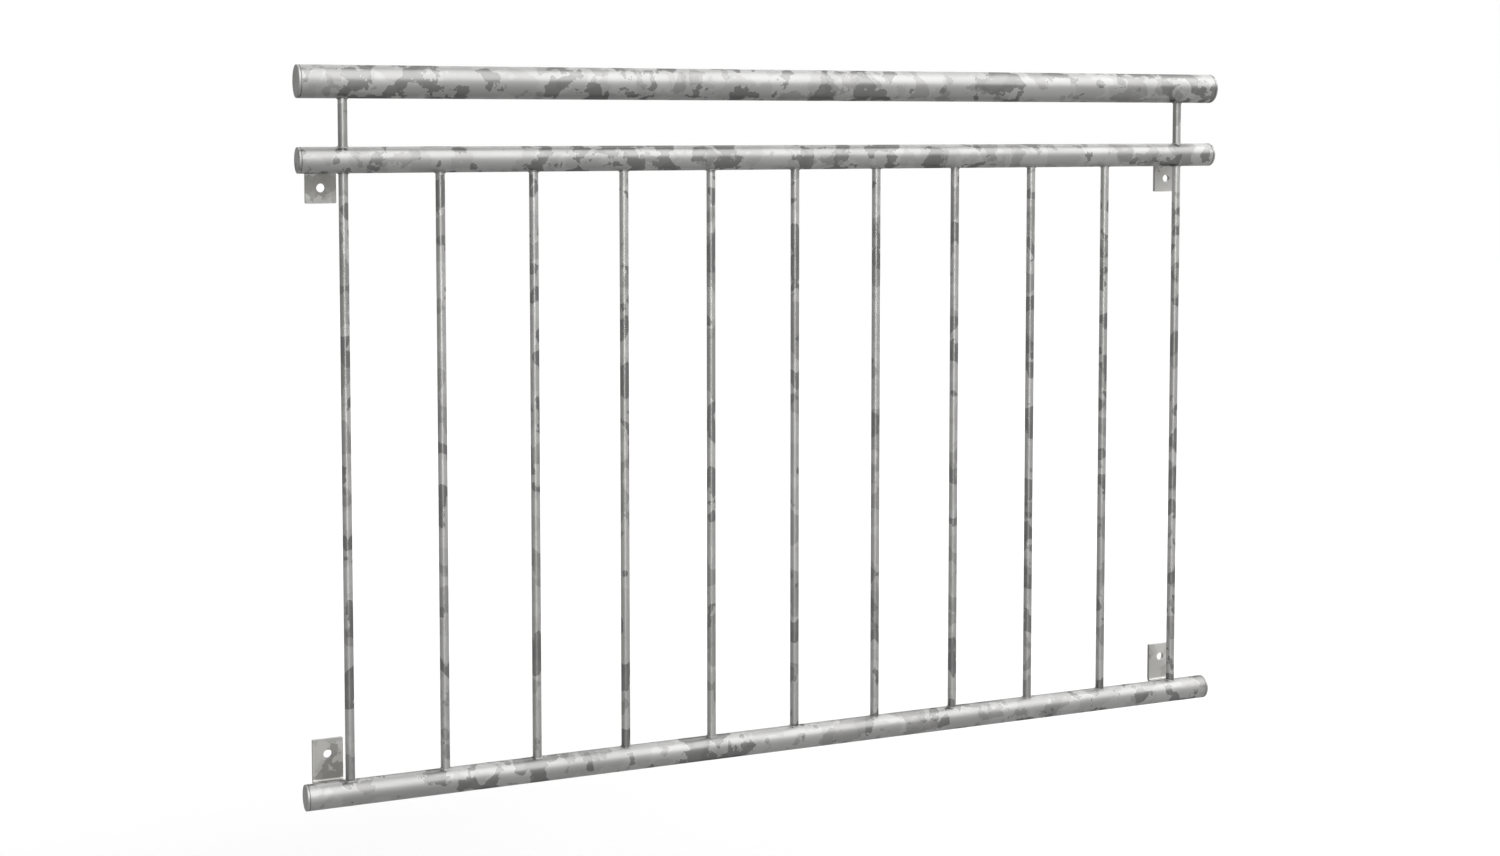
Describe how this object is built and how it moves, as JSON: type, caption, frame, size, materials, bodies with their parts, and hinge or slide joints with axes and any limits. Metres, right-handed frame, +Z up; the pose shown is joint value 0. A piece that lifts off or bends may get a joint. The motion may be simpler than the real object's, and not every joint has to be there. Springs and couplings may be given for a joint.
{
  "type": "french balcony railing",
  "caption": "Galvanised steel french balcony railing: round handrail over two capped round chords with upright round bars, held to the wall by four bent brackets.",
  "frame": {"origin": "on the wall face of the lower left bracket, on its centre line, midway between the outside of its leg and its hole", "axes": "+X along the rail, to the right as seen from outside; +Y into the wall; +Z up; the wall plane is y = 0"},
  "size_m": [1.377, 0.078, 0.952],
  "materials": {
    "tube_steel": "hot-dip galvanised, spangled, satin",
    "bar_steel": "hot-dip galvanised, satin",
    "cap_steel": "hot-dip galvanised, dull",
    "bracket_steel": "hot-dip galvanised, spangled, dull",
    "weld_bead": "hot-dip galvanised over the weld"
  },
  "bodies": {
    "root": {"handrail": "tube_steel", "upper_chord": "tube_steel", "lower_chord": "tube_steel", "handrail_cap_left": "cap_steel", "handrail_cap_right": "cap_steel", "upper_chord_cap_left": "cap_steel", "upper_chord_cap_right": "cap_steel", "lower_chord_cap_left": "cap_steel", "lower_chord_cap_right": "cap_steel", "end_bar_left": "bar_steel", "end_bar_right": "bar_steel", "middle_bar_1": "bar_steel", "middle_bar_2": "bar_steel", "middle_bar_3": "bar_steel", "middle_bar_4": "bar_steel", "middle_bar_5": "bar_steel", "middle_bar_6": "bar_steel", "middle_bar_7": "bar_steel", "middle_bar_8": "bar_steel", "middle_bar_9": "bar_steel", "upper_bracket_left": "bracket_steel", "upper_bracket_right": "bracket_steel", "lower_bracket_left": "bracket_steel", "lower_bracket_right": "bracket_steel", "handrail_welds": "weld_bead", "upper_chord_welds": "weld_bead", "lower_chord_welds": "weld_bead", "bracket_welds": "weld_bead"}
  },
  "joints": []
}
